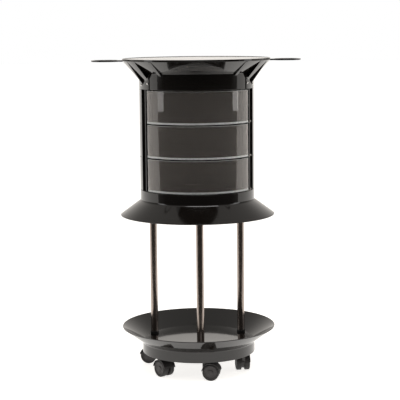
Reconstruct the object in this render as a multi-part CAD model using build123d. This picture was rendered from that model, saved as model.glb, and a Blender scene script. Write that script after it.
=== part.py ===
from build123d import *
import os
from math import cos, radians, sin

os.makedirs("parts", exist_ok=True)

# Hairdresser's round trolley: a dish on six swivel casters, three chrome columns, and a drum of three
# swing-out clear trays under a flared round top with a dryer holder on each side.
# Millimetres. Origin on the floor under the axis of the drum, +Z up, open front of the drum towards -Y.
# Angles marked "bearing" are measured about Z from the front (-Y) towards +X, in degrees.

# ---- driving dimensions -------------------------------------------------------------------------------
DRUM_R = 170.0          # outside of the drum, the neck and both flared mouldings' bands
WALL = 3.0              # moulded wall thickness
FLARE_R = 230.0         # rim of the dish and of the skirt
BAND_H = 34.0           # straight band of the dish and skirt moulding
CONE_BLEND = 8.0        # rounding between band and cone
FLARE_H = 44.0          # height of its cone
BASE_Z = 54.5           # underside of the base above the floor
SKIRT_Z = 471.5         # lower rim of the skirt
TIER_H = 99.5           # one tier of the drum
TIERS = ["lower", "middle", "upper"]
NECK_H = 28.0           # straight neck above the drum, at the sides and back
FRONT_NECK_H = 46.0     # and at the front, where the cone starts higher
FRONT_EDGE = 56.5       # bearing of the edges of that front part
TOP_R = 219.0           # rim of the flared top
TOP_FLARE_H = 56.0      # height of the top's cone
TRAY_PLATE_T = 3.0      # round top tray
TRAY_LIP_H = 1.0        # its raised edge
STRIP_W = 12.0          # screwed strip on each side of the neck's front
STRIP_T = 2.0
SEAT_T = 0.5            # depth of the columns' seats in the dish
COLLAR_T = 1.6          # rubber collar round a column's foot

COLUMN_D = 22.0
COLUMN_T = 1.5
COLUMN_RING_R = 154.0
BOARD_T = 12.0          # board under the dish
COLUMN_BEARINGS = {"front": 0.0, "right": 120.0, "left": 240.0}

POST_RING_R = 157.0     # pivot rod and latch rod
POST_BEARING = 68.0
POST_D = 16.0
ROD_D = 8.0             # also the bolts' size
BOLT_HEAD_H = 5.5
HEX_ACROSS = 13.0
BACK_ROD_RING_R = 150.0
SHELL_EDGE = 73.0       # bearing of the shells' front edges
SHELL_EDGE_DEPTH = 18.0
SEAM = 1.2              # shadow gap between the shells' outer walls

TRAY_R = 167.0          # bow front of the clear trays
TRAY_EDGE = 62.0        # bearing of the bow front's ends
TRAY_SIDE_X = 133.0
TRAY_SIDE_Y = -58.0
TRAY_BACK_X = 119.0     # narrower at the free end, so that it swings past the latch post
TRAY_BACK_Y = 32.0
TRAY_WALL = 3.0
TRAY_FLOOR_T = 5.5
TRAY_H = 95.0
EAR_R = 12.0
WASHER_T = 1.0
END_PLAY = 0.2

CASTERS = 6
CASTER_RING_R = 145.0
CASTER_PHASE = 4.5      # bearing of the first caster
CASTER_HEADINGS = [78.0, 184.0, 150.0, 205.0, 258.0, 38.0]   # bearing of each caster's trail at rest
WHEEL_R = 24.5
WHEEL_W = 15.0
WHEEL_GAP = 5.2         # from the caster's mid plane to a wheel's inner face
TRAIL = 20.0
FENDER_GAP = 1.0
FENDER_T = 1.8
AXLE_D = 6.0
STEM_D = 7.9
SOCKET_D = 12.0

HOLDER_X = 267.0        # centre of a dryer ring
HOLDER_R = 43.0
HOLDER_HOLE_R = 36.0
HOLDER_T = 4.5
HOLDER_STRAP_W = 34.0
HOLDER_STRAP_X = 186.0  # inner end of its strap on the top tray

# ---- levels worked out from them ----------------------------------------------------------------------
DISH_FLOOR_Z = BASE_Z + BAND_H
DISH_RIM_Z = DISH_FLOOR_Z + FLARE_H
DECK_Z = SKIRT_Z + FLARE_H
DRUM_Z = DECK_Z + BAND_H
NECK_Z = DRUM_Z + len(TIERS) * TIER_H
TOP_FLOOR_Z = NECK_Z + NECK_H
FRONT_Z = NECK_Z + FRONT_NECK_H
TOP_RIM_Z = TOP_FLOOR_Z + TOP_FLARE_H
TRAY_TOP_Z = TOP_RIM_Z + TRAY_PLATE_T
RIM_LAND = 2.0          # upright edge of the flared top's rim
RUNNING = 0.05          # radial clearance of a running fit
CLEAR = 0.3             # radial clearance of a bolt or rod hole


def write(name, shape):
    """Write one named sub-part as a STEP file."""
    if not isinstance(shape, list):
        shape = [shape]
    solids = [solid for piece in shape for solid in piece.solids()]
    part = solids[0] if len(solids) == 1 else Compound(children=solids)
    part.label = name
    export_step(part, f"parts/{name}.step")


def place(radius, bearing, z=0.0):
    """Point at a radius and bearing from the drum's axis."""
    angle = radians(bearing)
    return Vector(radius * sin(angle), -radius * cos(angle), z)


def rod(point, radius, z0, z1):
    """Upright cylinder through a point, from height z0 to z1."""
    return Pos(point.X, point.Y, z0) * extrude(Circle(radius), z1 - z0)


def tube(point, outer, inner, z0, z1):
    """Upright tube through a point."""
    return rod(point, outer, z0, z1) - rod(point, inner, z0 - 1, z1 + 1)


def turned(points, rounds=(), arc=360.0):
    """Solid turned about Z from a closed outline of (radius, height), with rounded corners."""
    face = make_face(Polyline(*[(r, 0, z) for r, z in points], close=True))
    for (r, z), radius in rounds:
        corner = face.vertices().sort_by_distance(Vector(r, 0, z))[0]
        face = fillet(corner, radius)
    return revolve(face, Axis.Z, revolution_arc=arc)


def hexagon(point, across, z0, height, bore=0.0):
    """Hexagon nut or bolt head."""
    body = Pos(point.X, point.Y, z0) * extrude(RegularPolygon(across / 2, 6, major_radius=False), height)
    return body - rod(point, bore, z0 - 1, z0 + height + 1) if bore else body


AXIS = Vector(0, 0, 0)
PIVOT = place(POST_RING_R, POST_BEARING)
LATCH = place(POST_RING_R, -POST_BEARING)
BACK = place(BACK_ROD_RING_R, 180.0)
RODS = [PIVOT, LATCH, BACK]
COLUMNS = {side: place(COLUMN_RING_R, bearing) for side, bearing in COLUMN_BEARINGS.items()}


# ---- flared mouldings ---------------------------------------------------------------------------------
def flared_moulding(rim_r, band_h, flare_h, blend):
    """Band, disc and cone in one wall, standing on its band at z = 0 with the rim up."""
    rise = flare_h / (rim_r - DRUM_R)
    lift = WALL * (1 + rise**2) ** 0.5
    floor = band_h
    start = floor - WALL + 1
    rim = floor + flare_h
    inner = DRUM_R - WALL
    points = [
        (0, floor - WALL),
        (inner, floor - WALL),
        (inner, 0),
        (DRUM_R, 0),
        (DRUM_R, start),
        (rim_r, start + rise * (rim_r - DRUM_R)),
        (rim_r, rim),
        (DRUM_R + (rim - start - lift) / rise, rim),
        (DRUM_R + (floor - start - lift) / rise, floor),
        (0, floor),
    ]
    rounds = [((DRUM_R, start), blend), ((DRUM_R, 0), 1.2)]
    rounds += [(points[5], 1.2), (points[7], 0.8), (points[8], 3.0)]
    return turned(points, rounds)


def drilled(shape, points, radius, z0, z1):
    """Take the same upright hole out of a shape at several points."""
    for point in points:
        shape -= rod(point, radius, z0, z1)
    return shape


def make_dish():
    """Round dish with a shallow seat for each column."""
    dish = Pos(0, 0, BASE_Z) * flared_moulding(FLARE_R, BAND_H, FLARE_H, CONE_BLEND)
    dish = drilled(dish, COLUMNS.values(), COLUMN_D / 2 + COLLAR_T + CLEAR, DISH_FLOOR_Z - SEAT_T, DISH_RIM_Z)
    return drilled(dish, COLUMNS.values(), ROD_D / 2 + CLEAR, BASE_Z, DISH_RIM_Z)


def make_skirt():
    """The same moulding upside down, under the drum."""
    skirt = Pos(0, 0, DRUM_Z) * Rot(180, 0, 0) * flared_moulding(FLARE_R, BAND_H, FLARE_H, CONE_BLEND)
    holes = list(COLUMNS.values()) + RODS
    return drilled(skirt, holes, ROD_D / 2 + CLEAR, SKIRT_Z, DRUM_Z)


def sector(points, rounds, start, sweep):
    """Part turn of an outline, from a bearing."""
    return Rot(0, 0, start - 90) * turned(points, rounds, arc=sweep)


def funnel_profile(cone_start):
    """Outline of the flared top, standing on its neck at z = 0, whose cone starts at a height."""
    floor = NECK_H
    rim = NECK_H + TOP_FLARE_H
    rise = (rim - RIM_LAND - cone_start) / (TOP_R - DRUM_R)
    lift = WALL * (1 + rise**2) ** 0.5
    inner = DRUM_R - WALL
    return [
        (0, floor - WALL),
        (inner, floor - WALL),
        (inner, 0),
        (DRUM_R, 0),
        (DRUM_R, cone_start),
        (TOP_R, rim - RIM_LAND),
        (TOP_R, rim),
        (DRUM_R + (rim - cone_start - lift) / rise, rim),
        (inner, cone_start + lift - rise * WALL),
        (inner, floor),
        (0, floor),
    ]


def gusset(bearing, thickness, foot_z, top_z):
    """Upright rib from the neck out to the rim of the flared top."""
    outline = [
        (DRUM_R - 1.5, foot_z),
        (DRUM_R + 0.8, foot_z),
        (TOP_R - 1.5, TOP_RIM_Z - 4.0),
        (TOP_R - 3.0, TOP_RIM_Z - RIM_LAND),
        (DRUM_R - 1.5, top_z),
    ]
    face = make_face(Polyline(*[(r, 0, z) for r, z in outline], close=True))
    return Rot(0, 0, bearing - 90) * extrude(face, thickness / 2, both=True, dir=(0, 1, 0))


# ---- base and columns ---------------------------------------------------------------------------------
def make_base_plate():
    """Round board under the dish that carries the casters, with the bolt heads sunk into it."""
    plate = rod(AXIS, DRUM_R - WALL - 0.2, BASE_Z, BASE_Z + BOARD_T)
    plate = drilled(plate, COLUMNS.values(), ROD_D / 2 + CLEAR, BASE_Z - 1, BASE_Z + BOARD_T + 1)
    plate = drilled(plate, COLUMNS.values(), 8.5, BASE_Z - 1, BASE_Z + BOLT_HEAD_H)
    return drilled(plate, [stem for stem, _ in CASTER_SEATS], SOCKET_D / 2, BASE_Z - 1, BASE_Z + BOARD_T + 1)


COLUMN_FOOT_Z = DISH_FLOOR_Z - SEAT_T


def make_column(point):
    """Chromed tube from its seat in the dish to the skirt's deck."""
    return tube(point, COLUMN_D / 2, COLUMN_D / 2 - COLUMN_T, COLUMN_FOOT_Z, DECK_Z)


def make_column_plugs():
    """Threaded plugs in both ends of every column."""
    plug_h = 25.0
    starts = (COLUMN_FOOT_Z, DECK_Z - plug_h)
    bore = COLUMN_D / 2 - COLUMN_T
    return [tube(point, bore, ROD_D / 2, z, z + plug_h) for point in COLUMNS.values() for z in starts]


def bolt(point, head_z, tip_z):
    """Hexagon bolt whose head's bearing face is at head_z."""
    up = tip_z > head_z
    head = hexagon(point, HEX_ACROSS, head_z - BOLT_HEAD_H if up else head_z, BOLT_HEAD_H)
    return head + rod(point, ROD_D / 2, min(head_z, tip_z), max(head_z, tip_z))


def make_column_bolts_lower():
    """Bolts up through the board and the dish into the columns."""
    return [bolt(point, BASE_Z + BOLT_HEAD_H, DISH_FLOOR_Z + 22) for point in COLUMNS.values()]


def make_column_bolts_upper():
    """Bolts down through the skirt's deck into the columns."""
    return [bolt(point, DECK_Z + WALL, DECK_Z - 22) for point in COLUMNS.values()]


def make_column_collars():
    """Rubber collars that sit in the columns' seats."""
    inner = COLUMN_D / 2 + 0.1
    outer = COLUMN_D / 2 + COLLAR_T
    height = 8.0
    ring = turned([(inner, 0), (outer, 0), (outer, height - 1), (inner + 0.8, height), (inner, height)])
    return [Pos(point.X, point.Y, COLUMN_FOOT_Z) * ring for point in COLUMNS.values()]


# ---- drum ---------------------------------------------------------------------------------------------
def make_tower_floor():
    """Floor plate of the drum on three hollow legs that the rods go through."""
    floor = rod(AXIS, DRUM_R - WALL - 0.2, DRUM_Z - WALL, DRUM_Z)
    for point in RODS:
        floor += rod(point, 9.0, DECK_Z + WALL, DRUM_Z - 1)
    return drilled(floor, RODS, ROD_D / 2 + CLEAR, DECK_Z, DRUM_Z + 1)


def make_shell(z0):
    """C-shaped back and sides of one tier, with an inward flange down each front edge."""
    wall = turned(
        [
            (DRUM_R - WALL, z0),
            (DRUM_R - 1, z0),
            (DRUM_R - 1, z0 + SEAM / 2),
            (DRUM_R, z0 + SEAM / 2),
            (DRUM_R, z0 + TIER_H - SEAM / 2),
            (DRUM_R - 1, z0 + TIER_H - SEAM / 2),
            (DRUM_R - 1, z0 + TIER_H),
            (DRUM_R - WALL, z0 + TIER_H),
        ],
        arc=360 - 2 * SHELL_EDGE,
    )
    shell = Rot(0, 0, SHELL_EDGE - 90) * wall
    flange = Box(SHELL_EDGE_DEPTH, WALL, TIER_H, align=(Align.MAX, Align.MIN, Align.MIN))
    right = Rot(0, 0, SHELL_EDGE - 90) * Pos(DRUM_R - 1, 0, z0) * flange
    boss = rod(BACK, 8.0, z0, z0 + TIER_H) + Pos(0, BACK_ROD_RING_R + 9, z0 + TIER_H / 2) * Box(4, 18, TIER_H)
    shell = shell + right + mirror(right, Plane.YZ) + boss
    return shell - rod(BACK, ROD_D / 2 + CLEAR, z0 - 1, z0 + TIER_H + 1)


def tray_outline(inset, front_r):
    """Plan of a tray: a bow front, tapered cheeks and a straight back, drawn inset mm inside it."""
    right = place(front_r, TRAY_EDGE)
    nose = place(front_r, 0)
    side_x = TRAY_SIDE_X - inset
    back_y = TRAY_BACK_Y - inset
    end_right = Vector(right.X - inset * 1.2, right.Y + inset * 0.6)
    end_left = Vector(-end_right.X, end_right.Y)
    bow = ThreePointArc((end_left.X, end_left.Y), (nose.X, nose.Y), (end_right.X, end_right.Y))
    edge = Polyline(
        (end_right.X, end_right.Y),
        (side_x, TRAY_SIDE_Y),
        (side_x, back_y),
        (-TRAY_BACK_X + inset, back_y),
        (-side_x, TRAY_SIDE_Y),
        (end_left.X, end_left.Y),
    )
    return make_face([bow, edge])


def make_tray(z0):
    """Clear open-topped tray with an ear round the pivot."""
    floor_z = z0 + WASHER_T + END_PLAY
    outside = extrude(tray_outline(0, TRAY_R), TRAY_H)
    inside = Pos(0, 0, TRAY_FLOOR_T) * extrude(tray_outline(TRAY_WALL, TRAY_R - TRAY_WALL), TRAY_H)
    upright = (outside - inside).edges().filter_by(Axis.Z)
    tray = fillet(upright, 1.2)
    ear = extrude(Circle(EAR_R), TRAY_FLOOR_T)
    bridge = Box(14, 16, TRAY_FLOOR_T, align=(Align.MAX, Align.CENTER, Align.MIN))
    ear = Pos(PIVOT.X, PIVOT.Y) * (ear + bridge)
    tray = Pos(0, 0, floor_z) * (tray + ear)
    return tray - rod(PIVOT, POST_D / 2, floor_z - 1, floor_z + TRAY_FLOOR_T + 1)


def make_sleeve(z0):
    """Black hinge tube that is fast in a tray's ear and turns on the pivot rod."""
    low = z0 + WASHER_T + END_PLAY
    return tube(PIVOT, POST_D / 2, ROD_D / 2 + RUNNING, low, z0 + TIER_H - END_PLAY)


def make_pivot_washers():
    """Nylon washers that the trays turn on."""
    levels = [DRUM_Z + index * TIER_H for index in range(len(TIERS))]
    return [tube(PIVOT, POST_D / 2, ROD_D / 2, z, z + WASHER_T) for z in levels]


def make_tie_rod(point):
    """Threaded rod that clamps the drum between the skirt and the flared top."""
    return rod(point, ROD_D / 2, DECK_Z - 9, TOP_FLOOR_Z + 9)


def make_rod_nuts():
    """Nuts on both ends of the rods."""
    nut_h = 6.5
    levels = (DECK_Z - nut_h, TOP_FLOOR_Z)
    return [hexagon(point, HEX_ACROSS, z, nut_h, ROD_D / 2) for point in RODS for z in levels]


# Bearing, height and seat radius of the chrome screws through the neck.
SCREW_ROWS = [(57.0, 34.0, DRUM_R + STRIP_T), (57.0, 18.5, DRUM_R + STRIP_T), (72.0, 13.0, DRUM_R)]
NECK_SCREWS = [(side * bearing, NECK_Z + rise, seat) for side in (1, -1)
               for bearing, rise, seat in SCREW_ROWS]
BLOCK_ARC = 34.0
BLOCK_BEARING = 64.0
BLOCK_INNER_R = 146.0
SCREW_TIP_R = DRUM_R - 7.5


def make_post_blocks():
    """Blocks inside the neck that the rods and the neck screws go through."""
    low, high = NECK_Z, TOP_FLOOR_Z - WALL
    outer = DRUM_R - WALL
    outline = [(BLOCK_INNER_R, low), (outer, low), (outer, high), (BLOCK_INNER_R, high)]
    blocks = []
    for middle, point in ((BLOCK_BEARING, PIVOT), (-BLOCK_BEARING, LATCH)):
        block = sector(outline, [], middle - BLOCK_ARC / 2, BLOCK_ARC)
        block -= rod(point, ROD_D / 2 + CLEAR, low - 1, high + 1)
        for screw in NECK_SCREWS:
            block -= screw_shape(*screw)
        blocks.append(block)
    back = Box(20, 20, high - low, align=(Align.CENTER, Align.CENTER, Align.MIN))
    back = Pos(0, BACK_ROD_RING_R, low) * back
    blocks.append(back - rod(BACK, ROD_D / 2 + CLEAR, low - 1, high + 1))
    return blocks


def screw_shape(bearing, z, seat):
    """Domed screw that goes radially into the neck, with its head on the given radius."""
    head = turned([(0, seat), (3.4, seat), (3.4, seat + 0.8), (2.4, seat + 2.2), (0, seat + 2.6)])
    shank = turned([(0, SCREW_TIP_R), (1.8, SCREW_TIP_R), (1.8, seat + 1), (0, seat + 1)])
    return Pos(0, 0, z) * Rot(0, 0, bearing - 90) * Rot(0, 90, 0) * (head + shank)


def make_neck_screws():
    """Three screws on each side of the neck."""
    return [screw_shape(*screw) for screw in NECK_SCREWS]


# ---- top ----------------------------------------------------------------------------------------------
PILLARS = [place(120.0, bearing) for bearing in (60.0, 180.0, 300.0)]
HOLDER_SCREW_X = (192.0, 206.0)
HOLDER_BOSS_R = 4.0     # bosses under the tray that go through the dryer rings' straps
HOLDER_Z = TOP_RIM_Z - HOLDER_T
BOSS_DRILL_TOP = TOP_RIM_Z + 2.0

# Bearing, thickness, foot level and top level of the ribs that carry the flared top.
GUSSETS = [
    (39.5, 9.0, FRONT_Z - 6.0, FRONT_Z - 1.0),
    (56.5, 4.5, FRONT_Z - 4.0, FRONT_Z - 1.0),
    (69.0, 5.0, TOP_FLOOR_Z - 13.0, TOP_FLOOR_Z - 1.0),
    (110.0, 5.0, TOP_FLOOR_Z - 8.0, TOP_FLOOR_Z - 1.0),
    (150.0, 5.0, TOP_FLOOR_Z - 8.0, TOP_FLOOR_Z - 1.0),
]


def make_top_funnel():
    """Flared top on its neck: deep cone at the sides and back, shallower in front, with ribs under it."""
    deep = funnel_profile(NECK_H - RIM_LAND)
    shallow = funnel_profile(FRONT_NECK_H)
    deep_rounds = [(deep[4], 6.0), (deep[3], 1.2)]
    shallow_rounds = [(shallow[4], 1.8), (shallow[3], 1.2)]
    funnel = sector(deep, deep_rounds, FRONT_EDGE, 360 - 2 * FRONT_EDGE)
    funnel += sector(shallow, shallow_rounds, -FRONT_EDGE, 2 * FRONT_EDGE)
    funnel = Pos(0, 0, NECK_Z) * funnel
    strip = Box(STRIP_T + 1, STRIP_W, FRONT_NECK_H - 2, align=(Align.MAX, Align.CENTER, Align.MIN))
    for side in (1, -1):
        funnel += Rot(0, 0, side * SCREW_ROWS[0][0] - 90) * Pos(DRUM_R + STRIP_T, 0, NECK_Z) * strip
        for bearing, thickness, foot_z, top_z in GUSSETS:
            funnel += gusset(side * bearing, thickness, foot_z, top_z)
        notch = Box(20, HOLDER_STRAP_W + 1, HOLDER_T + 2, align=(Align.CENTER, Align.CENTER, Align.MIN))
        funnel -= Pos(side * (TOP_R - 4), 0, HOLDER_Z - 0.3) * notch
    funnel = drilled(funnel, RODS, ROD_D / 2 + CLEAR, NECK_Z, TOP_RIM_Z)
    funnel = drilled(funnel, PILLARS, 2.0 + CLEAR, NECK_Z, TOP_RIM_Z)
    for screw in NECK_SCREWS:
        funnel -= screw_shape(*screw)
    return funnel


def make_top_tray():
    """Flat round tray with a low lip, on three pillars."""
    lip_z = TRAY_TOP_Z + TRAY_LIP_H
    tray = turned(
        [(0, TOP_RIM_Z), (TOP_R, TOP_RIM_Z), (TOP_R, lip_z), (TOP_R - 1.5, lip_z), (TOP_R - 2.5, TRAY_TOP_Z),
         (0, TRAY_TOP_Z)],
        [((TOP_R, lip_z), 0.6), ((TOP_R, TOP_RIM_Z), 0.6)],
    )
    for point in PILLARS:
        tray += rod(point, 7.0, TOP_FLOOR_Z, TOP_RIM_Z + 1)
    bosses = [Vector(side * x, 0) for side in (1, -1) for x in HOLDER_SCREW_X]
    for boss in bosses:
        tray += rod(boss, HOLDER_BOSS_R, HOLDER_Z, TOP_RIM_Z + 1)
    tray = drilled(tray, bosses, 1.8, HOLDER_Z - 1, BOSS_DRILL_TOP)
    return drilled(tray, PILLARS, 2.0, TOP_FLOOR_Z - 1, TOP_FLOOR_Z + 16)


def make_top_tray_screws():
    """Screws up through the flared top's floor into the pillars."""
    screws = []
    under = TOP_FLOOR_Z - WALL
    for point in PILLARS:
        screws.append(rod(point, 4.0, under - 3, under) + rod(point, 2.0, under - 1, TOP_FLOOR_Z + 14))
    return screws


def make_holder(side):
    """Flat dryer ring on a strap that goes through the rim and lies under the top tray."""
    ring = Pos(HOLDER_X, 0) * Circle(HOLDER_R)
    strap = Pos((HOLDER_STRAP_X + HOLDER_X) / 2, 0) * Rectangle(HOLDER_X - HOLDER_STRAP_X, HOLDER_STRAP_W)
    strap_end = fillet(strap.vertices().sort_by(Axis.X)[:2], 6.0)
    body = extrude(ring + strap_end, HOLDER_T)
    body -= Pos(HOLDER_X, 0) * extrude(Circle(HOLDER_HOLE_R), HOLDER_T)
    for x in HOLDER_SCREW_X:
        body -= rod(Vector(x, 0), HOLDER_BOSS_R + CLEAR / 2, -1, HOLDER_T + 1)
    body = Pos(0, 0, HOLDER_Z) * body
    return body if side > 0 else mirror(body, Plane.YZ)


def make_holder_screws():
    """Washer-head screws that clamp the straps from below."""
    screws = []
    for side in (1, -1):
        for x in HOLDER_SCREW_X:
            point = Vector(side * x, 0)
            shank = rod(point, 1.8, HOLDER_Z - 0.5, BOSS_DRILL_TOP)
            head = turned([(0, 0), (5.6, 0), (5.6, -0.8), (3.4, -1.2), (3.0, -2.8), (0, -2.8)])
            screws.append(shank + Pos(point.X, point.Y, HOLDER_Z) * head)
    return screws


# ---- casters ------------------------------------------------------------------------------------------
CASTER_SEATS = [
    (place(CASTER_RING_R, CASTER_PHASE + index * 360.0 / CASTERS), heading)
    for index, heading in enumerate(CASTER_HEADINGS)
]
SOCKET_FLANGE_T = 1.5
HOOD_TOP_Z = BASE_Z - SOCKET_FLANGE_T - 0.5


def seated(shape, seat):
    """Put a caster piece, drawn with its stem on Z and its trail along -Y, on its seat."""
    point, heading = seat
    return Pos(point.X, point.Y) * Rot(0, 0, heading) * shape


def make_caster_sockets():
    """Steel sockets in the board that the caster stems turn in."""
    sockets = []
    for point, _ in CASTER_SEATS:
        flange = rod(point, 9.0, BASE_Z - SOCKET_FLANGE_T, BASE_Z)
        body = flange + rod(point, SOCKET_D / 2, BASE_Z - 1, BASE_Z + 24)
        sockets.append(body - rod(point, STEM_D / 2 + RUNNING, BASE_Z - 3, BASE_Z + 22))
    return sockets


def along_x(shape):
    """Turn a shape drawn about Z so that its axis lies along X through the wheel's centre."""
    return Pos(0, -TRAIL, WHEEL_R) * Rot(0, 90, 0) * shape


STEM_TIP_R = 3.25
STEM_FOOT_Z = 38.0


def make_stem():
    """Swivel stem, pressed into the hood below and loose in the socket above."""
    top_z = BASE_Z + 21
    return turned(
        [(0, STEM_FOOT_Z), (STEM_TIP_R, STEM_FOOT_Z), (STEM_TIP_R, HOOD_TOP_Z), (STEM_D / 2, HOOD_TOP_Z),
         (STEM_D / 2, top_z - 2), (STEM_D / 2 - 1.2, top_z), (0, top_z)]
    )


def make_hood():
    """Caster body: a web between the wheels, a fender over them and a boss round the stem."""
    web_t = 9.0
    web_top = HOOD_TOP_Z - 1
    room_r = WHEEL_R + FENDER_GAP
    web = along_x(extrude(Circle(WHEEL_R - 6), web_t / 2, both=True))
    arm = Box(web_t, TRAIL + 6, web_top - WHEEL_R, align=(Align.CENTER, Align.CENTER, Align.MIN))
    web += Pos(0, -TRAIL / 2 + 3, WHEEL_R) * arm
    fender_w = WHEEL_GAP + WHEEL_W + 0.6
    ring = extrude(Circle(room_r + FENDER_T) - Circle(room_r), fender_w, both=True)
    cover = along_x(ring) & (Pos(0, -TRAIL, WHEEL_R + 34) * Box(60, 60, 60))
    boss_foot = 2 * WHEEL_R + 1
    boss = turned([(0, boss_foot), (9, boss_foot), (9, HOOD_TOP_Z), (0, HOOD_TOP_Z)])
    hood = web + cover + boss
    inside = along_x(extrude(Circle(room_r) - Circle(0.5), fender_w + 1, both=True))
    wheels_room = inside - (Pos(0, -TRAIL, WHEEL_R) * Box(web_t, 80, 80))
    hood -= wheels_room
    hood -= rod(AXIS, STEM_TIP_R, STEM_FOOT_Z - 1, HOOD_TOP_Z + 5)
    return hood - along_x(extrude(Circle(AXLE_D / 2), 10, both=True))


def make_axle():
    """Axle, pressed into the web."""
    return along_x(extrude(Circle(AXLE_D / 2), WHEEL_GAP + WHEEL_W - 4, both=True))


def make_wheels():
    """Pair of wheels with rounded treads and closed, dished outer faces."""
    bore = AXLE_D / 2 + RUNNING
    outer = WHEEL_GAP + WHEEL_W
    blind = outer - 3.5
    dish_z = outer - 1.8
    cap_z = outer - 0.4
    wheel = turned(
        [(bore, WHEEL_GAP), (WHEEL_R, WHEEL_GAP), (WHEEL_R, outer), (WHEEL_R - 6, outer),
         (WHEEL_R - 7.5, dish_z), (8, dish_z), (7, cap_z), (0, cap_z), (0, blind), (bore, blind)],
        [((WHEEL_R, outer), 3.5), ((WHEEL_R, WHEEL_GAP), 1.5)],
    )
    return [along_x(wheel), along_x(mirror(wheel, Plane.XY))]


# ---- write every node ---------------------------------------------------------------------------------
write("base_dish", make_dish())
write("base_plate", make_base_plate())
write("caster_sockets", make_caster_sockets())
for side, point in COLUMNS.items():
    write(f"column_{side}", make_column(point))
write("column_plugs", make_column_plugs())
write("column_bolts_lower", make_column_bolts_lower())
write("column_bolts_upper", make_column_bolts_upper())
write("column_collars", make_column_collars())
write("skirt", make_skirt())
write("tower_floor", make_tower_floor())
for index, tier in enumerate(TIERS):
    level = DRUM_Z + index * TIER_H
    write(f"shell_{tier}", make_shell(level))
    write(f"tray_{tier}", make_tray(level))
    write(f"hinge_sleeve_{tier}", make_sleeve(level))
for name, point in zip(("pivot_rod", "latch_rod", "back_rod"), RODS):
    write(name, make_tie_rod(point))
write("pivot_washers", make_pivot_washers())
write("latch_post", tube(LATCH, POST_D / 2, ROD_D / 2 + CLEAR, DRUM_Z, NECK_Z))
write("rod_nuts", make_rod_nuts())
write("post_blocks", make_post_blocks())
write("neck_screws", make_neck_screws())
write("top_funnel", make_top_funnel())
write("top_tray", make_top_tray())
write("top_tray_screws", make_top_tray_screws())
write("dryer_holder_right", make_holder(1))
write("dryer_holder_left", make_holder(-1))
write("holder_screws", make_holder_screws())
stem, hood, axle, wheels = make_stem(), make_hood(), make_axle(), make_wheels()
for number, seat in enumerate(CASTER_SEATS, 1):
    write(f"caster_{number}_stem", seated(stem, seat))
    write(f"caster_{number}_hood", seated(hood, seat))
    write(f"caster_{number}_axle", seated(axle, seat))
    write(f"caster_{number}_wheels", [seated(wheel, seat) for wheel in wheels])
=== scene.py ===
"""Studio model of a round hairdressing trolley with a drum of swing-out clear trays."""
import logging
import math
from dataclasses import dataclass
from enum import Enum
from typing import Any, Iterable, Sequence

import bmesh
import bpy
from mathutils import Matrix, Vector


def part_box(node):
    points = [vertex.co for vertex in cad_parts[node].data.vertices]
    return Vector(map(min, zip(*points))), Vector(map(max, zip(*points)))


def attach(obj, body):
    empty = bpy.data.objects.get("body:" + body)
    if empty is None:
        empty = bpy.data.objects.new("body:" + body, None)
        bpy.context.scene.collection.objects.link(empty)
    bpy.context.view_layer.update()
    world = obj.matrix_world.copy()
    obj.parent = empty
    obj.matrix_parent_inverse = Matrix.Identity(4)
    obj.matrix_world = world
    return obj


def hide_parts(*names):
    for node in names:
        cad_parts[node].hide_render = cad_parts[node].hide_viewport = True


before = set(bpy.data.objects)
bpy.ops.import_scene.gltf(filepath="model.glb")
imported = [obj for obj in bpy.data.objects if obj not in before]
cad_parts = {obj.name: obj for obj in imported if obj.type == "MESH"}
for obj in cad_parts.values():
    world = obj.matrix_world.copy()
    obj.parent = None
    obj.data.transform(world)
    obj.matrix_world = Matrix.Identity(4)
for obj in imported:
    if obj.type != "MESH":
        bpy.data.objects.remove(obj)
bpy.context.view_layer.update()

LOG = logging.getLogger("trolley")
MM = 0.001
NOISE_SPAN = (0.35, 0.65)       # the middle stretch of the noise's values, which patterns spread out
Point = tuple[float, float]
Tree = bpy.types.NodeTree
Socket = bpy.types.NodeSocket


# ---- colours and nodes --------------------------------------------------------------------------------
def linear(code: str) -> tuple[float, float, float, float]:
    """Turn an sRGB hex code into the linear colour that shaders use.

    Args:
        code: colour such as "#1a1918".

    Returns:
        Linear red, green and blue, with an alpha of 1.
    """
    parts = [int(code[at:at + 2], 16) / 255 for at in (1, 3, 5)]
    red, green, blue = (c / 12.92 if c <= 0.04045 else ((c + 0.055) / 1.055) ** 2.4 for c in parts)
    return red, green, blue, 1.0


def add_node(tree: Tree, kind: str, settings: dict[Any, Any] | None = None,
             links: dict[Any, Socket] | None = None) -> bpy.types.Node:
    """Add one node to a tree, with its settings and what feeds it.

    Args:
        tree: node tree of a material or of the world.
        kind: Blender's name of the node type.
        settings: values by attribute name, or by input name or number.
        links: output sockets by the input name or number that each one feeds.

    Returns:
        The new node.
    """
    made = tree.nodes.new(kind)
    for key, value in (settings or {}).items():
        if isinstance(key, str) and hasattr(made, key):
            setattr(made, key, value)
        else:
            made.inputs[key].default_value = value
    for key, socket in (links or {}).items():
        tree.links.new(socket, made.inputs[key])
    return made


# ---- finishes -----------------------------------------------------------------------------------------
@dataclass(frozen=True)
class Finish:
    """A real material and how its surface was made."""

    name: str
    colour: str
    roughness: float
    ior: float = 1.5
    metallic: float = 0.0
    slot: str = ""

    def build(self) -> bpy.types.Material:
        """Make the material, or return it if it has been made."""
        made = bpy.data.materials.get(self.name)
        if made is not None:
            return made
        made = bpy.data.materials.new(self.name)
        made.use_nodes = True
        tree = made.node_tree
        shader = tree.nodes["Principled BSDF"]
        shader.inputs["Base Color"].default_value = linear(self.colour)
        shader.inputs["Roughness"].default_value = self.roughness
        shader.inputs["Metallic"].default_value = self.metallic
        if self.metallic == 0:
            shader.inputs["IOR"].default_value = self.ior
        place = add_node(tree, "ShaderNodeTexCoord").outputs["Object"]
        self.detail(tree, shader, place)
        return made

    def detail(self, tree: Tree, shader: bpy.types.Node, place: Socket) -> None:
        """Add what the surface shows close up; the plain finish shows nothing more."""


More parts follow.
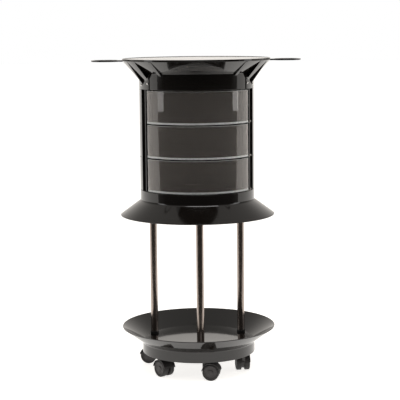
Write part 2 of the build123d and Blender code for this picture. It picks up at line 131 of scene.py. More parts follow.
def lumps(tree: Tree, place: Socket, size_mm: float, low: float = 0.0, high: float = 1.0, layers: float = 2.0,
          stretch: Sequence[float] = (1.0, 1.0, 1.0)) -> Socket:
    """Soft uneven pattern in real millimetres, for haze, grain and waviness.

    Args:
        tree: node tree to add to.
        place: position in metres.
        size_mm: size of a lump.
        low: value in the hollows.
        high: value on the lumps.
        layers: how many finer layers it has.
        stretch: how many times longer a lump is along each axis.

    Returns:
        The socket that carries the value.
    """
    scale = [1.0 / (size_mm * MM * longer) for longer in stretch]
    spaced = add_node(tree, "ShaderNodeMapping", {"Scale": scale}, {"Vector": place})
    uneven = {"Scale": 1.0, "Detail": layers}
    noise = add_node(tree, "ShaderNodeTexNoise", uneven, {"Vector": spaced.outputs[0]})
    hollow, lump = NOISE_SPAN
    span = {"From Min": hollow, "From Max": lump, "To Min": low, "To Max": high}
    return add_node(tree, "ShaderNodeMapRange", span, {"Value": noise.outputs[0]}).outputs[0]


@dataclass(frozen=True)
class PolishedAbs(Finish):
    """Injection-moulded ABS from a polished tool: mirror-like, faintly wavy, with a wiped haze."""

    wave_mm: float = 28.0
    haze_mm: float = 70.0

    def detail(self, tree: Tree, shader: bpy.types.Node, place: Socket) -> None:
        """Add the haze and the waviness of the moulding.

        Args:
            tree: the material's node tree.
            shader: its shader.
            place: position in metres.
        """
        haze = lumps(tree, place, self.haze_mm, self.roughness, self.roughness + 0.045, 4.0)
        tree.links.new(haze, shader.inputs["Roughness"])
        relief = {"Strength": 0.35, "Distance": 0.02 * MM}
        waves = lumps(tree, place, self.wave_mm, layers=1.0)
        raised = add_node(tree, "ShaderNodeBump", relief, {"Height": waves})
        tree.links.new(raised.outputs[0], shader.inputs["Normal"])


@dataclass(frozen=True)
class MouldedNylon(Finish):
    """Nylon, rubber or polyurethane with a dull even grain, from a spark-eroded tool or from turning."""

    grain_mm: float = 0.9   # the real grain is about 0.1 mm; drawn coarser so that it shows
    patch_mm: float = 9.0

    def detail(self, tree: Tree, shader: bpy.types.Node, place: Socket) -> None:
        """Add rubbed patches that shine a little more, and the grain.

        Args:
            tree: the material's node tree.
            shader: its shader.
            place: position in metres.
        """
        rubbed = lumps(tree, place, self.patch_mm, self.roughness - 0.08, self.roughness + 0.08, 3.0)
        tree.links.new(rubbed, shader.inputs["Roughness"])
        relief = {"Strength": 0.6, "Distance": 0.02 * MM}
        raised = add_node(tree, "ShaderNodeBump", relief, {"Height": lumps(tree, place, self.grain_mm)})
        tree.links.new(raised.outputs[0], shader.inputs["Normal"])


@dataclass(frozen=True)
class DrawnMetal(Finish):
    """Plated drawn tube or rod: long fine lines along Z under the plating."""

    line_mm: float = 0.7    # real drawing lines are finer; drawn coarser so that they show
    line_length: float = 90.0
    cloud_mm: float = 35.0

    def detail(self, tree: Tree, shader: bpy.types.Node, place: Socket) -> None:
        """Add a clouded patchiness and the drawing lines.

        Args:
            tree: the material's node tree.
            shader: its shader.
            place: position in metres.
        """
        cloud = lumps(tree, place, self.cloud_mm, self.roughness, self.roughness + 0.06, 3.0)
        tree.links.new(cloud, shader.inputs["Roughness"])
        lines = lumps(tree, place, self.line_mm, stretch=(1, 1, self.line_length))
        relief = {"Strength": 0.25, "Distance": 0.002 * MM}
        raised = add_node(tree, "ShaderNodeBump", relief, {"Height": lines})
        tree.links.new(raised.outputs[0], shader.inputs["Normal"])


@dataclass(frozen=True)
class ClearAcrylic(Finish):
    """Thermoformed acrylic: clear, with a faint patchy haze from wiping."""

    clarity: float = 0.93
    haze_mm: float = 45.0

    def detail(self, tree: Tree, shader: bpy.types.Node, place: Socket) -> None:
        """Let light through, and cloud it a little in patches.

        Args:
            tree: the material's node tree.
            shader: its shader.
            place: position in metres.
        """
        shader.inputs["Transmission Weight"].default_value = self.clarity
        haze = lumps(tree, place, self.haze_mm, self.roughness, self.roughness + 0.03, 4.0)
        tree.links.new(haze, shader.inputs["Roughness"])


@dataclass(frozen=True)
class CutAcrylicEdge(Finish):
    """Flame-polished cut edge of acrylic; its pale base colour is a painted highlight for the light that the
    edge gathers from the whole sheet.
    """

    clarity: float = 0.35
    ripple_mm: float = 3.0

    def detail(self, tree: Tree, shader: bpy.types.Node, place: Socket) -> None:
        """Let some light through, with fine ripples from the flame.

        Args:
            tree: the material's node tree.
            shader: its shader.
            place: position in metres.
        """
        # less clear than the sheet, so that the pale base colour shows: a painted highlight
        shader.inputs["Transmission Weight"].default_value = self.clarity
        uneven = lumps(tree, place, self.ripple_mm, self.roughness, self.roughness + 0.15)
        tree.links.new(uneven, shader.inputs["Roughness"])
        relief = {"Strength": 0.4, "Distance": 0.01 * MM}
        raised = add_node(tree, "ShaderNodeBump", relief, {"Height": lumps(tree, place, self.ripple_mm)})
        tree.links.new(raised.outputs[0], shader.inputs["Normal"])


@dataclass(frozen=True)
class BoardLaminate(Finish):
    """Melamine-faced board: a shallow orange-peel texture pressed in by the caul plate."""

    scuff_mm: float = 14.0
    peel_mm: float = 1.4

    def detail(self, tree: Tree, shader: bpy.types.Node, place: Socket) -> None:
        """Add scuffs and the pressed texture.

        Args:
            tree: the material's node tree.
            shader: its shader.
            place: position in metres.
        """
        scuff = lumps(tree, place, self.scuff_mm, self.roughness, self.roughness + 0.2, 5.0, (4, 1, 1))
        tree.links.new(scuff, shader.inputs["Roughness"])
        relief = {"Strength": 0.5, "Distance": 0.02 * MM}
        raised = add_node(tree, "ShaderNodeBump", relief, {"Height": lumps(tree, place, self.peel_mm)})
        tree.links.new(raised.outputs[0], shader.inputs["Normal"])


BLACK_ABS = PolishedAbs("polished_black_abs", "#14110f", 0.05, 1.53, slot="black_abs")
POST_ABS = PolishedAbs("extruded_black_abs", "#0d0c0c", 0.12, 1.53, slot="black_abs", wave_mm=9.0)
TRAY_ACRYLIC = ClearAcrylic("formed_clear_acrylic", "#ece5df", 0.0, 1.49, slot="clear_acrylic")
# pale base colour of the cut edges: a painted highlight
EDGE_ACRYLIC = CutAcrylicEdge("cut_acrylic_edge_painted_highlight", "#eef0ee", 0.22, 1.49, slot="clear_acrylic")
# the columns' base colour is darker and warmer than the screws' chrome: a painted dark reflection of a dim
# room
COLUMN_CHROME = DrawnMetal("chromed_drawn_tube_painted_dark_reflection", "#9a8f88", 0.2, metallic=1.0, slot="column_chrome")
SCREW_CHROME = DrawnMetal("chromed_screw", "#dad8d6", 0.1, metallic=1.0, slot="column_chrome", line_mm=0.4)
ZINC_STEEL = DrawnMetal("zinc_plated_steel", "#9a9c9f", 0.3, metallic=1.0, slot="zinc_steel")
CASTER_NYLON = MouldedNylon("moulded_caster_nylon", "#2b2828", 0.42, 1.53, slot="caster_nylon")
WHEEL_NYLON = MouldedNylon("moulded_wheel_nylon", "#343030", 0.5, 1.53, slot="caster_nylon")
TREAD = MouldedNylon("polyurethane_tread", "#1d1b1b", 0.55, 1.5, slot="caster_nylon", grain_mm=1.4)
WASHER_NYLON = MouldedNylon("turned_nylon", "#d8d6d0", 0.4, 1.53, slot="white_nylon")
COLLAR_RUBBER = MouldedNylon("moulded_rubber", "#161515", 0.6, 1.52, slot="collar_rubber")
BOARD = BoardLaminate("melamine_faced_board", "#141313", 0.4, 1.5, slot="painted_board")


# ---- meshes -------------------------------------------------------------------------------------------
def rounded(corners: Iterable[Sequence[float]], step: float = 12.0, fixed: int = 0) -> list[Point]:
    """Round the corners of a closed outline.

    Args:
        corners: (a, b) or (a, b, radius) for each corner, in order.
        step: most degrees of arc from one point to the next.
        fixed: number of steps for every corner, instead of step.

    Returns:
        The outline's points.
    """
    given = [(c[0], c[1], c[2] if len(c) > 2 else 0.0) for c in corners]
    points: list[Point] = []
    for index, (a, b, radius) in enumerate(given):
        here = Vector((a, b))
        if radius <= 0:
            points.append((a, b))
            continue
        before = (Vector(given[index - 1][:2]) - here).normalized()
        after = (Vector(given[(index + 1) % len(given)][:2]) - here).normalized()
        half = before.angle(after) / 2
        centre = here + (before + after).normalized() * (radius / math.sin(half))
        start = here + before * (radius / math.tan(half)) - centre
        end = here + after * (radius / math.tan(half)) - centre
        turn = start.angle_signed(end)
        count = fixed or max(1, math.ceil(abs(math.degrees(turn)) / step))
        for at in range(count + 1):
            spot = centre + Matrix.Rotation(-turn * at / count, 2) @ start
            points.append((spot.x, spot.y))
    return points


def finish_mesh(name: str, made: bmesh.types.BMesh, finish: Finish, body: str, nodes: Sequence[str] = (),
                sharp: float = 32.0) -> bpy.types.Object:
    """Turn a bmesh into a piece of the trolley.

    Args:
        name: the piece's name.
        made: its mesh, which is freed.
        finish: its finish.
        body: the CAD body that it rides on.
        nodes: the CAD nodes that it stands for.
        sharp: angle above which an edge stays sharp, in degrees.

    Returns:
        The new object.
    """
    bmesh.ops.remove_doubles(made, verts=made.verts, dist=1e-6)
    bmesh.ops.recalc_face_normals(made, faces=made.faces)
    mesh = bpy.data.meshes.new(name)
    made.to_mesh(mesh)
    made.free()
    mesh.shade_smooth()
    mesh.set_sharp_from_angle(angle=math.radians(sharp))
    piece = bpy.data.objects.new(name, mesh)
    bpy.context.scene.collection.objects.link(piece)
    dress(piece, finish)
    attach(piece, body)
    if nodes:
        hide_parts(*nodes)
    LOG.info("%s: %d faces on %s", name, len(mesh.polygons), body)
    return piece


def dress(piece: bpy.types.Object, finish: Finish) -> None:
    """Give a whole piece one finish.

    Args:
        piece: object with a mesh.
        finish: what it is made of.
    """
    piece.data.materials.clear()
    piece.data.materials.append(finish.build())


def sweep_round(made: bmesh.types.BMesh, outline: Sequence[Point], segments: int = 192, start: float = 0.0,
                sweep: float = 360.0, place: Matrix | None = None) -> None:
    """Turn a closed (radius, height) outline about Z into a bmesh.

    Args:
        made: bmesh to add to.
        outline: points of the outline, in metres.
        segments: steps of a full turn.
        start: bearing where a part turn starts, in degrees from -Y towards +X.
        sweep: how far it turns, in degrees.
        place: where to put the result.
    """
    full = sweep >= 360
    steps = segments if full else max(2, round(segments * sweep / 360))
    rings = []
    for step in range(steps + (0 if full else 1)):
        angle = math.radians(start + sweep * step / steps)
        ring = []
        for radius, height in outline:
            spot = Vector((radius * math.sin(angle), -radius * math.cos(angle), height))
            ring.append(made.verts.new(place @ spot if place else spot))
        rings.append(ring)
    count = len(outline)
    for step in range(steps):
        one, two = rings[step], rings[(step + 1) % len(rings)]
        for at in range(count):
            after = (at + 1) % count
            on_axis = [outline[at][0] < 1e-9, outline[after][0] < 1e-9]
            if all(on_axis):
                continue
            corners = [one[at], one[after], two[after], two[at]]
            if on_axis[0]:
                corners = [one[at], one[after], two[after]]
            elif on_axis[1]:
                corners = [one[at], one[after], two[at]]
            made.faces.new(corners)
    if not full:
        made.faces.new(rings[0])
        made.faces.new(rings[-1][::-1])


def turned(name: str, corners: Iterable[Sequence[float]], finish: Finish, body: str,
           nodes: Sequence[str] = (), **how: Any) -> bpy.types.Object:
    """Make a piece that is turned about Z from one outline.

    Args:
        name: the piece's name.
        corners: the outline, as rounded takes it.
        finish: its finish.
        body: the CAD body that it rides on.
        nodes: the CAD nodes that it stands for.
        how: what sweep_round takes besides.

    Returns:
        The new object.
    """
    made = bmesh.new()
    sweep_round(made, rounded(corners), **how)
    return finish_mesh(name, made, finish, body, nodes)


def prism(made: bmesh.types.BMesh, outline: Sequence[Point], low: float, high: float,
          place: Matrix | None = None) -> None:
    """Add an upright prism to a bmesh.

    Args:
        made: bmesh to add to.
        outline: plan of the prism, in metres.
        low: its lower level.
        high: its upper level.
        place: where to put the result.
    """
    levels = []
    for z in (low, high):
        spots = [Vector((x, y, z)) for x, y in outline]
        levels.append([made.verts.new(place @ spot if place else spot) for spot in spots])
    made.faces.new(levels[0][::-1])
    made.faces.new(levels[1])
    for at in range(len(outline)):
        after = (at + 1) % len(outline)
        made.faces.new([levels[0][at], levels[0][after], levels[1][after], levels[1][at]])


def polar(radius: float, bearing: float) -> Vector:
    """Find a point on the floor plan; the bearing is in degrees from -Y towards +X."""
    angle = math.radians(bearing)
    return Vector((radius * math.sin(angle), -radius * math.cos(angle), 0.0))


# ---- studio -------------------------------------------------------------------------------------------
@dataclass(frozen=True)
class Studio:
    """Pale floor, soft lights and the camera."""

    floor_half: float = 30.0
    floor_front: float = 0.55       # it ends near the trolley, so that the chrome doesn't mirror more of it
    distance: float = 3.8946
    height: float = 1.039
    azimuth: float = -2.0
    pitch: float = 7.7
    yaw: float = 0.11
    roll: float = 0.55
    lens: float = 118.0
    ceiling: tuple[float, float, float, float] = (0.5, 0.48, 0.455, 1.0)
    room_tint: tuple[float, float, float] = (1.0, 0.955, 0.9)
    # brightness of the room from its front (0) to its back (1)
    room_levels: tuple[Point, ...] = (
        (0.0, 0.045), (0.33, 0.06), (0.5, 0.22), (0.72, 0.42), (0.93, 0.85), (1.0, 1.0))

    def camera(self) -> None:
        """Place the camera."""
        made = bpy.data.objects.new("camera", bpy.data.cameras.new("camera"))
        bpy.context.scene.collection.objects.link(made)
        made.data.lens = self.lens
        made.data.sensor_width = 36.0
        made.data.clip_end = 200.0
        turn = Matrix.Rotation(math.radians(self.azimuth - self.yaw), 4, "Z")
        tip = Matrix.Rotation(math.radians(90 - self.pitch), 4, "X")
        lean = Matrix.Rotation(math.radians(-self.roll), 4, "Z")
        at = polar(self.distance, self.azimuth) + Vector((0, 0, self.height))
        made.matrix_world = Matrix.Translation(at) @ turn @ tip @ lean
        bpy.context.scene.camera = made

    def floor(self) -> None:
        """Lay the floor."""
        half, front = self.floor_half, -self.floor_front
        mesh = bpy.data.meshes.new("floor")
        corners = [(-half, front, 0), (half, front, 0), (half, half, 0), (-half, half, 0)]
        mesh.from_pydata(corners, [], [(0, 1, 2, 3)])
        made = bpy.data.objects.new("floor", mesh)
        bpy.context.scene.collection.objects.link(made)
        paper = bpy.data.materials.new("studio_paper")
        paper.use_nodes = True
        shader = paper.node_tree.nodes["Principled BSDF"]
        look = {"Base Color": linear("#f8f6f3"), "Roughness": 0.9, "Specular IOR Level": 0.1,
                "Emission Color": linear("#fffdfa"), "Emission Strength": 0.84}
        for name, value in look.items():
            shader.inputs[name].default_value = value
        mesh.materials.append(paper)

    def world(self) -> None:
        """Light the room: bright behind the trolley, dimmer in front, and white to the eye."""
        room = bpy.data.worlds.new("room")
        bpy.context.scene.world = room
        room.use_nodes = True
        tree = room.node_tree
        tree.nodes.clear()
        way = add_node(tree, "ShaderNodeTexCoord").outputs["Generated"]
        parts = add_node(tree, "ShaderNodeSeparateXYZ", {}, {0: way})
        whole = {"From Min": -1.0, "From Max": 1.0}
        share = add_node(tree, "ShaderNodeMapRange", whole, {"Value": parts.outputs["Y"]})
        ramp = add_node(tree, "ShaderNodeValToRGB", {}, {0: share.outputs[0]})
        for at, _ in self.room_levels[1:-1]:
            ramp.color_ramp.elements.new(at)
        for element, (at, level) in zip(ramp.color_ramp.elements, self.room_levels):
            element.position = at
            element.color = [level * part for part in self.room_tint] + [1.0]
        above = add_node(tree, "ShaderNodeMapRange",
                         {"interpolation_type": "SMOOTHSTEP", "From Min": 0.35, "From Max": 0.85,
                          "To Min": 0.0, "To Max": 1.0}, {"Value": parts.outputs["Z"]})
        mixed = add_node(tree, "ShaderNodeMix", {"data_type": "RGBA", 7: self.ceiling},
                         {0: above.outputs[0], 6: ramp.outputs[0]})
        glow = add_node(tree, "ShaderNodeBackground", {"Strength": 1.0}, {"Color": mixed.outputs[2]})
        plain = add_node(tree, "ShaderNodeBackground", {"Color": (1, 1, 1, 1), "Strength": 1.0})
        seen = add_node(tree, "ShaderNodeLightPath").outputs["Is Camera Ray"]
        mix = add_node(tree, "ShaderNodeMixShader", {}, {0: seen, 1: glow.outputs[0], 2: plain.outputs[0]})
        add_node(tree, "ShaderNodeOutputWorld", {}, {"Surface": mix.outputs[0]})

    def softbox(self, name: str, at: Sequence[float], aim: Sequence[float], size: Point,
                power: float) -> None:
        """Hang one rectangular soft light.

        Args:
            name: the light's name.
            at: its place.
            aim: the point that it faces.
            size: width and height in metres.
            power: watts.
        """
        lamp = bpy.data.lights.new(name, "AREA")
        lamp.shape = "RECTANGLE"
        lamp.size, lamp.size_y = size
        lamp.energy = power
        made = bpy.data.objects.new(name, lamp)
        bpy.context.scene.collection.objects.link(made)
        made.location = at
        made.rotation_euler = (Vector(aim) - Vector(at)).to_track_quat("-Z", "Y").to_euler()

    def build(self) -> None:
        """Set up the whole studio."""
        self.camera()
        self.floor()
        self.world()
        self.softbox("top_light", (0.3, -1.2, 3.2), (0, 0, 0.6), (2.4, 1.6), 45)
        self.softbox("left_light", (-3.0, -0.6, 1.6), (0, 0, 0.5), (0.9, 2.2), 12)
        self.softbox("right_light", (3.0, -0.4, 1.6), (0, 0, 0.5), (0.9, 2.2), 12)
        view = bpy.context.scene.view_settings
        view.view_transform = "Standard"
        view.look = "None"


# ---- the trolley --------------------------------------------------------------------------------------
class Side(Enum):
    """Left or right of the trolley, seen from its front."""

    LEFT = -1
    RIGHT = 1


@dataclass(frozen=True)
class FlaredMoulding:
    """Band, disc and cone in one wall: the dish, and the skirt the other way up."""

    node: str
    name: str
    band: float
    blend: float = 8 * MM
    drum_r: float = 170 * MM
    wall: float = 3 * MM
    flipped: bool = False

    def build(self) -> None:
        """Turn the moulding about Z, with a rolled rim."""
        low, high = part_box(self.node)
        rim_r = max(high.x, high.y)
        rim = high.z - low.z
        floor = self.band
        start = floor - self.wall + 1 * MM
        rise = (rim - floor) / (rim_r - self.drum_r)
        lift = self.wall * math.hypot(1, rise)
        inner = self.drum_r - self.wall
        corners = [
            (0, floor - self.wall),
            (inner, floor - self.wall, 0.8 * MM),
            (inner, 0, 0.8 * MM),
            (self.drum_r, 0, 1.2 * MM),
            (self.drum_r, start, self.blend),
            (rim_r, start + rise * (rim_r - self.drum_r), 1.0 * MM),
            (rim_r, rim, 0.9 * MM),
            (self.drum_r + (rim - start - lift) / rise, rim, 0.9 * MM),
            (self.drum_r + (floor - start - lift) / rise, floor, 3 * MM),
            (0, floor),
        ]
        place = Matrix.Translation((0, 0, low.z))
        if self.flipped:
            place = Matrix.Translation((0, 0, high.z)) @ Matrix.Rotation(math.pi, 4, "X")
        turned(self.name, corners, BLACK_ABS, "frame", [self.node], place=place, segments=256)


def top_rim() -> float:
    """Find the radius of the flared top's rim, from the round tray that lies on it."""
    low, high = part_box("top_tray")
    return (high.x - low.x) / 2


@dataclass(frozen=True)
class FlaredTop:
    """Neck and flared top: deep cone at the sides and back, shallower in front, with ribs under it."""

    drum_r: float = 170 * MM
    wall: float = 3 * MM
    neck: float = 28 * MM
    front_neck: float = 46 * MM
    front_edge: float = 56.5
    land: float = 2 * MM
    # bearing, half width, thickness and height of the screwed strips
    strip: tuple[float, float, float, float] = (57.0, 6 * MM, 2 * MM, 44 * MM)
    # bearing, half thickness, foot and top of the ribs; the last three in mm, above the neck's lower edge
    ribs: tuple[tuple[float, float, float, float], ...] = (
        (39.5, 4.5, 40.0, 45.0), (56.5, 2.25, 42.0, 45.0), (69.0, 2.5, 15.0, 27.0), (110.0, 2.5, 20.0, 27.0),
        (150.0, 2.5, 20.0, 27.0))

    def profile(self, start: float, blend: float, rim_r: float, rim: float) -> list[Point]:
        """Outline of the moulding where its cone starts at a height.

        Args:
            start: height of the cone's foot above the neck's lower edge.
            blend: rounding of that corner.
            rim_r: radius of the rim.
            rim: height of the rim.

        Returns:
            Points of (radius, height).
        """
        inner = self.drum_r - self.wall
        rise = (rim - self.land - start) / (rim_r - self.drum_r)
        lift = self.wall * math.hypot(1, rise)
        return rounded([
            (0, self.neck - self.wall),
            (inner, self.neck - self.wall, 0.8 * MM),
            (inner, 0, 0.8 * MM),
            (self.drum_r, 0, 1.0 * MM),
            (self.drum_r, start, blend),
            (rim_r, rim - self.land, 0.6 * MM),
            (rim_r, rim, 0.5 * MM),
            (self.drum_r + (rim - start - lift) / rise, rim, 0.5 * MM),
            (inner, start + lift - rise * self.wall),
            (inner, self.neck),
            (0, self.neck),
        ])

    def build(self) -> None:
        """Turn both parts of the moulding and stand the ribs and the screwed strips on it."""
        low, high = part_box("top_funnel")
        rim_r = top_rim()
        rim = high.z - low.z
        place = Matrix.Translation((0, 0, low.z))
        made = bmesh.new()
        deep = self.profile(self.neck - self.land, 6 * MM, rim_r, rim)
        sweep_round(made, deep, 256, self.front_edge, 360 - 2 * self.front_edge, place)
        shallow = self.profile(self.front_neck, 1.8 * MM, rim_r, rim)
        sweep_round(made, shallow, 256, -self.front_edge, 2 * self.front_edge, place)
        finish_mesh("top_moulding", made, BLACK_ABS, "frame", ["top_funnel"])
        made = bmesh.new()
        for bearing, half, foot, top in self.ribs:
            for side in Side:
                levels = (low.z + foot * MM, low.z + top * MM, high.z)
                self.rib(made, side.value * bearing, half * MM, levels, rim_r)
        finish_mesh("top_ribs", made, BLACK_ABS, "frame")
        made = bmesh.new()
        for side in Side:
            self.screw_strip(made, side.value, low.z)
        finish_mesh("screw_strips", made, BLACK_ABS, "frame")

    def screw_strip(self, made: bmesh.types.BMesh, side: int, foot: float) -> None:
        """Add the upright strip that the neck's screws go through.

        Args:
            made: bmesh to add to.
            side: 1 on the right, -1 on the left.
            foot: level of its lower end.
        """
        bearing, half, proud, tall = self.strip
        plan = [(-half, 1 * MM), (half, 1 * MM), (half, -proud, 1 * MM), (-half, -proud, 1 * MM)]
        turn = Matrix.Rotation(math.radians(side * bearing), 4, "Z")
        place = turn @ Matrix.Translation((0, -self.drum_r, 0))
        prism(made, rounded(plan), foot, foot + tall, place)

    def rib(self, made: bmesh.types.BMesh, bearing: float, half: float, levels: tuple[float, float, float],
            rim_r: float) -> None:
        """Add one rib.

        Args:
            made: bmesh to add to.
            bearing: where it stands.
            half: half its thickness.
            levels: its foot and its top on the neck, and the rim.
            rim_r: radius of the rim.
        """
        foot, top, rim = levels
        root = self.drum_r - 1.5 * MM
        outline = [(root, foot), (self.drum_r + 0.8 * MM, foot), (rim_r - 1.5 * MM, rim - 4 * MM),
                   (rim_r - 3 * MM, rim - self.land), (root, top)]
        out = polar(1, bearing)
        across = Vector((-out.y, out.x, 0))
        sides = [[made.verts.new(out * r + across * offset + Vector((0, 0, z))) for r, z in outline]
                 for offset in (-half, half)]
        made.faces.new(sides[0][::-1])
        made.faces.new(sides[1])
        for at in range(len(outline)):
            after = (at + 1) % len(outline)
            made.faces.new([sides[0][at], sides[0][after], sides[1][after], sides[1][at]])


@dataclass(frozen=True)
class DryerRing:
    """Flat ring on a strap, with softly rounded edges."""

    side: Side
    hole_r: float = 36 * MM
    strap_half: float = 17 * MM
    strap_x: float = 186 * MM
    edge: float = 1.2 * MM

    def build(self) -> None:
        """Turn the ring about its own centre and add the strap."""
        node = f"dryer_holder_{self.side.name.lower()}"
        low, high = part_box(node)
        ring_r = (high.y - low.y) / 2
        centre_x = max(abs(low.x), abs(high.x)) - ring_r
        thick = high.z - low.z
        section = [(self.hole_r, 0, self.edge), (ring_r, 0, self.edge), (ring_r, thick, self.edge),
                   (self.hole_r, thick, self.edge)]
        made = bmesh.new()
        place = Matrix.Translation((self.side.value * centre_x, 0, low.z))
        sweep_round(made, rounded(section, 20.0), 96, place=place)
        end = centre_x - self.hole_r - 2 * MM
        turn = Matrix.Rotation(0 if self.side is Side.RIGHT else math.pi, 4, "Z")
        plan = [(self.strap_x, -self.strap_half, 6 * MM), (end, -self.strap_half), (end, self.strap_half),
                (self.strap_x, self.strap_half, 6 * MM)]
        prism(made, rounded(plan), low.z + 0.1 * MM, high.z - 0.1 * MM, turn)
        finish_mesh(f"{node}_moulding", made, BLACK_ABS, "frame", [node])


@dataclass(frozen=True)
class CasterWheels:
    """Pair of wheels of one caster: treads, dished rims and hub caps."""

    number: int
    tread_t: float = 4.5 * MM
    gap: float = 5.2 * MM
    width: float = 15 * MM
    bore: float = 3.2 * MM
    cap_r: float = 7.5 * MM

    def build(self) -> None:
        """Turn every tread and rim about the axle, on both sides of the web."""
        node = f"caster_{self.number}_wheels"
        body = f"caster_{self.number}_roll"
        low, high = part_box(node)
        stem_low, stem_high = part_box(f"caster_{self.number}_stem")
        centre = (low + high) / 2
        trail = centre - (stem_low + stem_high) / 2
        trail.z = 0
        radius = (high.z - low.z) / 2
        treads, rims = bmesh.new(), bmesh.new()
        for side in Side:
            axle = Vector((-trail.y, trail.x, 0)).normalized() * side.value
            place = Matrix.Translation(centre) @ axle.to_track_quat("Z", "Y").to_matrix().to_4x4()
            sweep_round(treads, self.tread(radius), 72, place=place)
            sweep_round(rims, self.rim(radius), 72, place=place)
        finish_mesh(f"caster_{self.number}_treads", treads, TREAD, body, [node])
        finish_mesh(f"caster_{self.number}_rims", rims, WHEEL_NYLON, body)

    def tread(self, radius: float) -> list[Point]:
        """Outline of a tread with rounded shoulders.

        Args:
            radius: the wheel's radius.

        Returns:
            Points of (radius, distance along the axle).
        """
        low, high = self.gap, self.gap + self.width
        inner = radius - self.tread_t
        return rounded([(inner, low), (radius, low, 1.5 * MM), (radius, high, 3.4 * MM), (inner, high)])

    def rim(self, radius: float) -> list[Point]:
        """Outline of a rim, dished between the tread and a raised hub cap.

        Args:
            radius: the wheel's radius.

        Returns:
            Points of (radius, distance along the axle).
        """
        low, high = self.gap, self.gap + self.width
        outer = radius - self.tread_t
        edge, cap = high - 0.5 * MM, high - 0.6 * MM
        dish, blind = high - 2.2 * MM, high - 3.5 * MM
        return rounded([
            (self.bore, low),
            (outer, low),
            (outer, edge),
            (outer - 1.5 * MM, edge),
            (outer - 3 * MM, dish, 0.8 * MM),
            (self.cap_r + 1 * MM, dish, 0.5 * MM),
            (self.cap_r, cap, 0.6 * MM),
            (0, cap),
            (0, blind),
            (self.bore, blind),
        ])


@dataclass(frozen=True)
class Shell:
    """C-shaped back and sides of one tier."""

    tier: str
    edge: float = 73.0
    wall: float = 3 * MM
    depth: float = 18 * MM
    seam: float = 0.6 * MM
    boss_r: float = 8 * MM

    def build(self) -> None:
        """Turn the wall, and add the flange down each front edge and the boss at the back."""
        node = f"shell_{self.tier}"
        low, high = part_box(node)
        outer = high.x
        inner = outer - self.wall
        step = outer - 1 * MM
        made = bmesh.new()
        foot, top = low.z + self.seam, high.z - self.seam
        corners = [
            (inner, low.z), (step, low.z), (step, foot), (outer, foot, 0.6 * MM),
            (outer, top, 0.6 * MM), (step, top), (step, high.z), (inner, high.z),
        ]
        sweep_round(made, rounded(corners), 256, self.edge, 360 - 2 * self.edge)
        for side in Side:
            out = polar(1, side.value * self.edge)
            along = Vector((-out.y, out.x, 0)) * side.value
            first, last = step - self.depth, step
            plan = [out * first, out * last, out * last + along * self.wall, out * first + along * self.wall]
            prism(made, [(spot.x, spot.y) for spot in plan], low.z, high.z)
        rod_low, rod_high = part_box("back_rod")
        boss_y = (rod_low.y + rod_high.y) / 2
        turns = [math.tau * at / 32 for at in range(32)]
        circle = [(self.boss_r * math.sin(turn), boss_y + self.boss_r * math.cos(turn)) for turn in turns]
        prism(made, circle, low.z, high.z)
        finish_mesh(f"{node}_moulding", made, BLACK_ABS, "frame", [node])


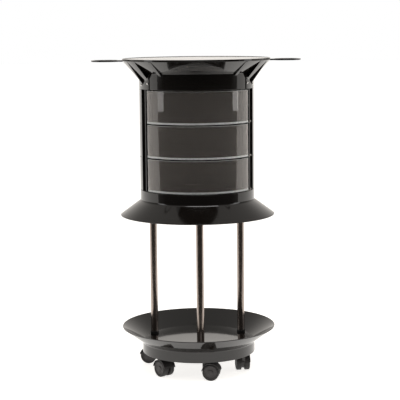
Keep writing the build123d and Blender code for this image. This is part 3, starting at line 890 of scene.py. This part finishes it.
@dataclass(frozen=True)
class Tray:
    """Clear tray of one tier, with polished cut edges."""

    tier: str
    bow_r: float = 167 * MM
    edge: float = 62.0
    side_x: float = 133 * MM
    side_y: float = -58 * MM
    back_x: float = 119 * MM
    wall: float = 3 * MM
    floor: float = 5.5 * MM
    ear_r: float = 12 * MM
    sleeve_r: float = 8 * MM
    skin: float = 0.8 * MM

    def plan(self, inset: float, corner: float, grow: float = 0.0) -> list[Point]:
        """Plan outline of the tray, with the same number of points whatever the inset.

        Args:
            inset: how far inside the outer face it runs.
            corner: radius of its corners.
            grow: not used.

        Returns:
            The outline's points, in metres.
        """
        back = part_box(f"tray_{self.tier}")[1].y - inset
        side = self.side_x - inset
        bow_r = self.bow_r - inset
        edge = polar(self.bow_r, self.edge)
        slope = Vector((self.side_x - edge.x, self.side_y - edge.y, 0)).normalized()
        start = edge + Vector((-slope.y, slope.x, 0)) * inset
        along = start.dot(slope)
        tip = start - slope * (along + math.sqrt(along ** 2 - start.length_squared + bow_r ** 2))
        shoulder = self.side_y + inset * 0.5
        limit = math.degrees(math.atan2(tip.x, -tip.y)) - 3.0
        steps = 60
        bow = [polar(bow_r, -limit + 2 * limit * at / steps) for at in range(steps + 1)]
        ring = [(tip.x, tip.y, corner), (side, shoulder, corner * 2), (side, back, corner),
                (-self.back_x + inset, back, corner), (-side, shoulder, corner * 2), (-tip.x, tip.y, corner)]
        return rounded(ring + [(spot.x, spot.y) for spot in bow], 12.0, 5)

    def build(self) -> None:
        """Build the floor and the walls, the bright cut edges and the ear at the hinge."""
        node = f"tray_{self.tier}"
        body = f"{node}_swing"
        low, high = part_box(node)
        outer, inner = self.plan(0, 3 * MM), self.plan(self.wall, 2 * MM)
        skin = self.plan(self.skin, 3 * MM - self.skin)
        floor_z = low.z + self.floor
        made = bmesh.new()
        prism(made, skin, low.z, floor_z)
        finish_mesh(f"{node}_floor", made, TRAY_ACRYLIC, body, [node])
        made = bmesh.new()
        self.wall_ring(made, outer, inner, floor_z, high.z - self.skin)
        finish_mesh(f"{node}_wall", made, TRAY_ACRYLIC, body)
        made = bmesh.new()
        self.wall_ring(made, outer, skin, low.z, floor_z)
        self.wall_ring(made, outer, inner, high.z - self.skin, high.z)
        finish_mesh(f"{node}_cut_edges", made, EDGE_ACRYLIC, body)
        made = bmesh.new()
        self.ear(made, low.z, floor_z)
        finish_mesh(f"{node}_ear", made, TRAY_ACRYLIC, body)

    def ear(self, made: bmesh.types.BMesh, low: float, high: float) -> None:
        """Add the ear round the hinge sleeve and the bridge to the floor.

        Args:
            made: bmesh to add to.
            low: the floor's lower level.
            high: its upper level.
        """
        rod_low, rod_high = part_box("pivot_rod")
        middle = (rod_low + rod_high) / 2
        height = high - low
        ring = [(self.sleeve_r, 0), (self.ear_r, 0, 0.4 * MM), (self.ear_r, height, 0.4 * MM),
                (self.sleeve_r, height)]
        sweep_round(made, rounded(ring), 48, place=Matrix.Translation((middle.x, middle.y, low)))
        far, near, half = middle.x - 14 * MM, middle.x - 9 * MM, 6.5 * MM
        front, back = middle.y - half, middle.y + half
        bridge = [(far, front), (near, front), (near, back), (far, back)]
        prism(made, bridge, low + 0.1 * MM, high - 0.1 * MM)

    def wall_ring(self, made: bmesh.types.BMesh, outer: Sequence[Point], inner: Sequence[Point], low: float,
                  high: float) -> None:
        """Add an upright ring between two outlines with the same number of points.

        Args:
            made: bmesh to add to.
            outer: outline of its outer face.
            inner: outline of its inner face.
            low: its lower level.
            high: its upper level.
        """
        rings = [[made.verts.new((x, y, z)) for x, y in line]
                 for line, z in ((outer, low), (outer, high), (inner, high), (inner, low))]
        count = len(outer)
        for first, second in zip(rings, rings[1:] + rings[:1]):
            for at in range(count):
                after = (at + 1) % count
                made.faces.new([first[at], first[after], second[after], second[at]])


@dataclass(frozen=True)
class Carried:
    """Finish of every CAD node; the nodes that no piece stands for keep their CAD shape."""

    finishes: tuple[tuple[Finish, tuple[str, ...]], ...] = (
        (BLACK_ABS, ("base_dish", "skirt", "tower_floor", "shell_", "top_funnel", "top_tray",
                     "dryer_holder")),
        (POST_ABS, ("latch_post", "hinge_sleeve", "post_blocks")),
        (TRAY_ACRYLIC, ("tray_",)),
        (COLUMN_CHROME, ("column_",)),
        (SCREW_CHROME, ("neck_screws", "holder_screws")),
        (ZINC_STEEL, ("column_plugs", "column_bolts", "pivot_rod", "latch_rod", "back_rod", "rod_nuts",
                      "top_tray_screws", "caster_sockets")),
        (WASHER_NYLON, ("pivot_washers",)),
        (COLLAR_RUBBER, ("column_collars",)),
        (BOARD, ("base_plate",)),
        (CASTER_NYLON, ("caster_",)),
    )
    endings: tuple[tuple[Finish, tuple[str, ...]], ...] = (
        (ZINC_STEEL, ("_stem", "_axle")), (WHEEL_NYLON, ("_wheels",)))

    def build(self) -> None:
        """Dress every CAD node, the longest matching name first, and smooth its shading."""
        starts = {start: finish for finish, names in self.finishes for start in names}
        order = sorted(starts, key=len, reverse=True)
        for name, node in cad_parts.items():
            finish = next(starts[start] for start in order if name.startswith(start))
            for other, ends in self.endings:
                if name.endswith(ends):
                    finish = other
            dress(node, finish)
            node.data.shade_smooth()
            node.data.set_sharp_from_angle(angle=math.radians(30))
            LOG.info("%s: %s", name, finish.name)


def main() -> None:
    """Build the studio and the trolley."""
    logging.basicConfig(level=logging.INFO, format="%(name)s: %(message)s")
    Studio().build()
    Carried().build()
    FlaredMoulding("base_dish", "dish_moulding", 34 * MM).build()
    FlaredMoulding("skirt", "skirt_moulding", 34 * MM, flipped=True).build()
    FlaredTop().build()
    for side in Side:
        DryerRing(side).build()
    for number in range(1, 7):
        CasterWheels(number).build()
    for tier in ("lower", "middle", "upper"):
        Shell(tier).build()
        Tray(tier).build()


if __name__ == "__main__":
    main()
